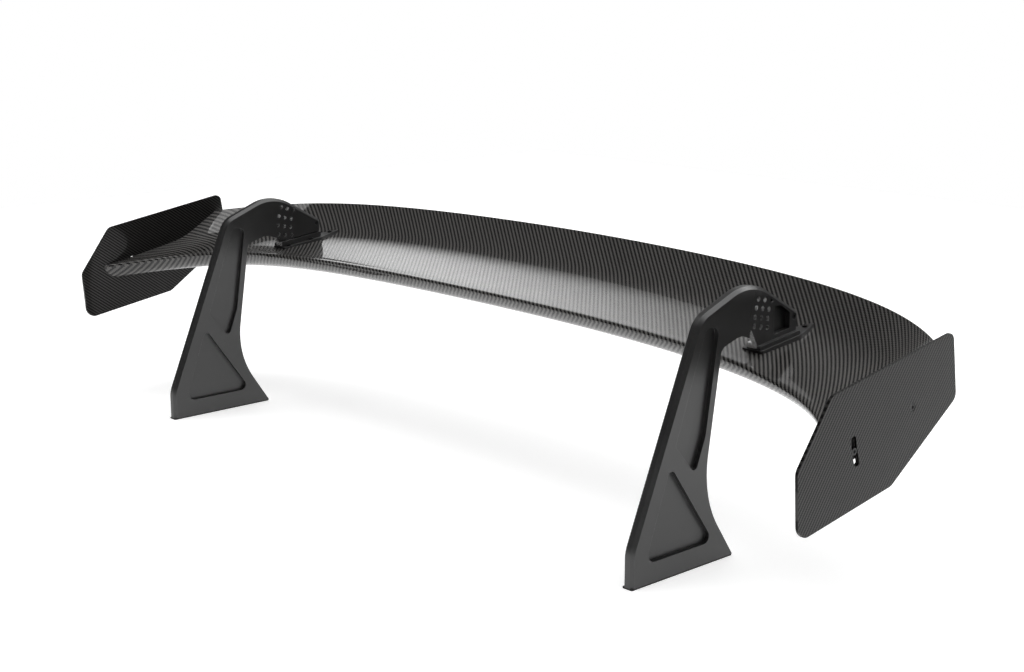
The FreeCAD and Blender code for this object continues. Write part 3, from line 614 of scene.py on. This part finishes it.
def turned_face(x, along):
    """Direction of the upper face, with its turn into the tail drawn out over most of the chord."""
    step = 0.002
    beside = 2 * MM
    rearward = soft_point(along + step, x) - soft_point(along - step, x)
    rightward = soft_point(along, x + beside) - soft_point(along, x - beside)
    return rightward.cross(rearward).normalized()


def share_of(point):
    """Where a point of the blade lies along its chord, from 0 at the nose to 1 at the tail."""
    front = leading_edge(point.x)
    chord = trailing_edge(point.x) - front
    return (point - front).dot(chord) / chord.length_squared


def soften_turn(mesh):
    directions = [Vector((0, 0, 0))] * len(mesh.loops)
    for polygon in mesh.polygons:
        shares = [share_of(mesh.vertices[index].co) for index in polygon.vertices]
        if polygon.normal.z < FACING_UP or min(shares) < SOFT_FROM:
            continue
        for loop, share in zip(polygon.loop_indices, shares):
            vertex = mesh.vertices[mesh.loops[loop].vertex_index]
            along = min(share, SOFT_TO)
            amount = min(max((along - SOFT_FROM) / SOFT_OVER, 0.0), 1.0)
            soft = turned_face(vertex.co.x, along)
            directions[loop] = vertex.normal.lerp(soft, amount).normalized()
    mesh.normals_split_custom_set(directions)


print("the middle of the upper face looks along", [round(part, 2) for part in turned_face(0, 0.5)])

# %% [markdown]
# ## The two halves of the blade
#
# A grid is added for each half, and its rows are carried round the section. The first and the last row
# meet, so merging doubles closes the shell, and a face fills each end. The UV map is written before that,
# while every point still knows its row.

# %% The halves
SPAN_STEPS = 150
CROWDED = 0.35      # how far the columns are drawn towards the ends, where the blade bends most
MERGE_WITHIN = 0.02 * MM
SHARP_FROM = math.radians(35)


def lay_rows(mesh, sign):
    """Puts every point of the grid in its place, and tells where each one went."""
    cloth = {}
    for vertex in mesh.vertices:
        even = 2 * vertex.co.x
        x = HALF_SPAN * (CROWDED * math.sin(math.pi * vertex.co.x) + (1 - CROWDED) * even)
        row = round((vertex.co.y + 0.5) * ROWS)
        vertex.co = shell_point(row, x, sign)
        cloth[vertex.index] = (x, row)
    return cloth


def map_cloth(mesh, cloth, sign):
    """Metres along the span, and metres along the surface from the nose."""
    run = {}
    for x, row in sorted(set(cloth.values())):
        if row == 0:
            run[x, row] = 0.0
        else:
            stretch = shell_point(row, x, sign) - shell_point(row - 1, x, sign)
            run[x, row] = run[x, row - 1] + stretch.length
    corners = mesh.uv_layers.active.data
    for loop in mesh.loops:
        x, row = cloth[loop.vertex_index]
        corners[loop.index].uv = (x, run[x, row])


def close_shell(piece):
    work_on(piece)
    bpy.ops.object.mode_set(mode="EDIT")
    bpy.ops.mesh.select_all(action="SELECT")
    bpy.ops.mesh.remove_doubles(threshold=MERGE_WITHIN)
    bpy.ops.mesh.select_all(action="DESELECT")
    bpy.ops.mesh.select_mode(type="EDGE")
    bpy.ops.mesh.select_non_manifold(extend=False)
    bpy.ops.mesh.edge_face_add()
    bpy.ops.mesh.select_all(action="SELECT")
    bpy.ops.mesh.normals_make_consistent(inside=False)
    bpy.ops.object.mode_set(mode="OBJECT")
    bpy.ops.object.shade_smooth_by_angle(angle=SHARP_FROM)


def make_skin(name, sign):
    nothing_selected()
    bpy.ops.mesh.primitive_grid_add(x_subdivisions=SPAN_STEPS, y_subdivisions=ROWS, size=1, calc_uvs=True)
    piece = new_piece(name)
    cloth = lay_rows(piece.data, sign)
    map_cloth(piece.data, cloth, sign)
    close_shell(piece)
    piece.data.materials.append(BLADE_CARBON)
    if sign > 0:
        soften_turn(piece.data)
    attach(piece, "wing")
    return piece


for name, sign in (("blade_upper_skin", 1), ("blade_lower_skin", -1)):
    skin = make_skin(name.replace("blade", "moulded"), sign)
    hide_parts(name)
    print(skin.name, len(skin.data.vertices), "points")

# %% [markdown]
# ## The floor
#
# The floor is a plain, pale plane. White paper would do in a studio, lit until it is almost as bright as
# the wall behind. Here it glows a little by itself, so that it can be that bright while the light on the
# wing stays soft.

# %% Floor
FLOOR_GLOW = 0.5

nothing_selected()
bpy.ops.mesh.primitive_plane_add(size=5.6)
floor = new_piece("studio_floor")
floor_finish = Finish("pale_floor", Roughness=0.9)
speckle = floor_finish.noise(3.0, 2.0, 0.5)
floor_finish.feed("Base Color", floor_finish.mix(speckle, grey(0.78), grey(0.8)))
floor_finish.feed("Emission Color", floor_finish.mix(speckle, grey(0.98), grey(1.0)))
floor_finish.shader.inputs["Emission Strength"].default_value = FLOOR_GLOW
floor.data.materials.append(floor_finish.material)
print("the floor is", round(floor.dimensions.x, 2), "m wide")

# %% [markdown]
# ## Two wide suns
#
# A lamp close by would light the floor in a patch. A sun lights it evenly as far as it goes, and a wide
# one gives soft shadows. The strong one stands almost overhead. The weak one comes from the front and
# fills the faces that the first leaves dark.

# %% Suns
def soft_sun(name, tilt, turn, softness, strength):
    data = bpy.data.lights.new(name, "SUN")
    data.angle = math.radians(softness)
    data.energy = strength
    sun = bpy.data.objects.new(name, data)
    sun.rotation_euler = (math.radians(tilt), 0, math.radians(turn))
    bpy.context.scene.collection.objects.link(sun)


soft_sun("overhead", 20, 150, 70, 2.2)
soft_sun("front_fill", 22, -43, 40, 0.8)
print("suns", [light.name for light in bpy.data.lights])

# %% [markdown]
# ## Two soft cards
#
# A glossy blade shows what stands round it more than the light that falls on it. The card behind on the
# left is the sheen on the blade's flat floor. The brighter one, higher and on the right, lights what faces
# up and back. Both fade towards their edges, as a softbox does through its cloth, so a reflection has no
# hard end. The camera doesn't see them, and they cast no shadow.

# %% Soft cards
def soft_card(name, place, aim, width, height, glow):
    """A white card that glows, and fades towards its edges."""
    nothing_selected()
    bpy.ops.mesh.primitive_plane_add(size=1)
    card = new_piece(name)
    facing = (Vector(aim) - Vector(place)).to_track_quat("Z", "Y")
    card.data.transform(facing.to_matrix().to_4x4() @ Matrix.Diagonal((width, height, 1, 1)))
    card.data.transform(Matrix.Translation(place))
    finish = Finish(name, Roughness=0.9)
    across, along, _ = finish.axes(finish.node("ShaderNodeTexCoord", {}, {}, "UV"))
    fade_across = (across.math("SQRT") * math.pi).math("SINE") ** 2.0
    fade_along = (along * math.pi).math("SINE") ** 2.0
    glowing = finish.mix(fade_across * fade_along, grey(0.0), grey(1.0))
    finish.feed("Base Color", grey_wire(finish, 0.8))
    finish.feed("Emission Color", glowing)
    finish.shader.inputs["Emission Strength"].default_value = glow
    card.data.materials.append(finish.material)
    card.visible_shadow = False
    card.visible_camera = False


soft_card("rear_left_card", (-2.49, 2.48, 1.45), (-0.1, 0.0, 0.25), 2.6, 1.9, 1.35)
soft_card("rear_card", (1.5, 2.2, 2.3), (0.5, 0.0, 0.3), 1.7, 1.7, 9.0)

# %% [markdown]
# ## The room
#
# Behind the floor the camera sees plain white. If that white lit the wing as well, the black pieces would
# turn grey, so everything but the camera's own view gets only a little of it.

# %% The room
ROOM_LIGHT = 0.06

world = bpy.data.worlds.new("room")
world.use_nodes = True
room = world.node_tree
background = room.nodes["Background"]
background.inputs["Color"].default_value = (1.0, 1.0, 1.0, 1.0)
seen = room.nodes.new("ShaderNodeLightPath")
level = room.nodes.new("ShaderNodeMapRange")
level.inputs["To Min"].default_value = ROOM_LIGHT
level.inputs["To Max"].default_value = 1.0
room.links.new(seen.outputs["Is Camera Ray"], level.inputs["Value"])
room.links.new(level.outputs["Result"], background.inputs["Strength"])
bpy.context.scene.world = world
bpy.context.scene.view_settings.view_transform = "Standard"
print("the room lights the wing at", ROOM_LIGHT, "of what the camera sees")
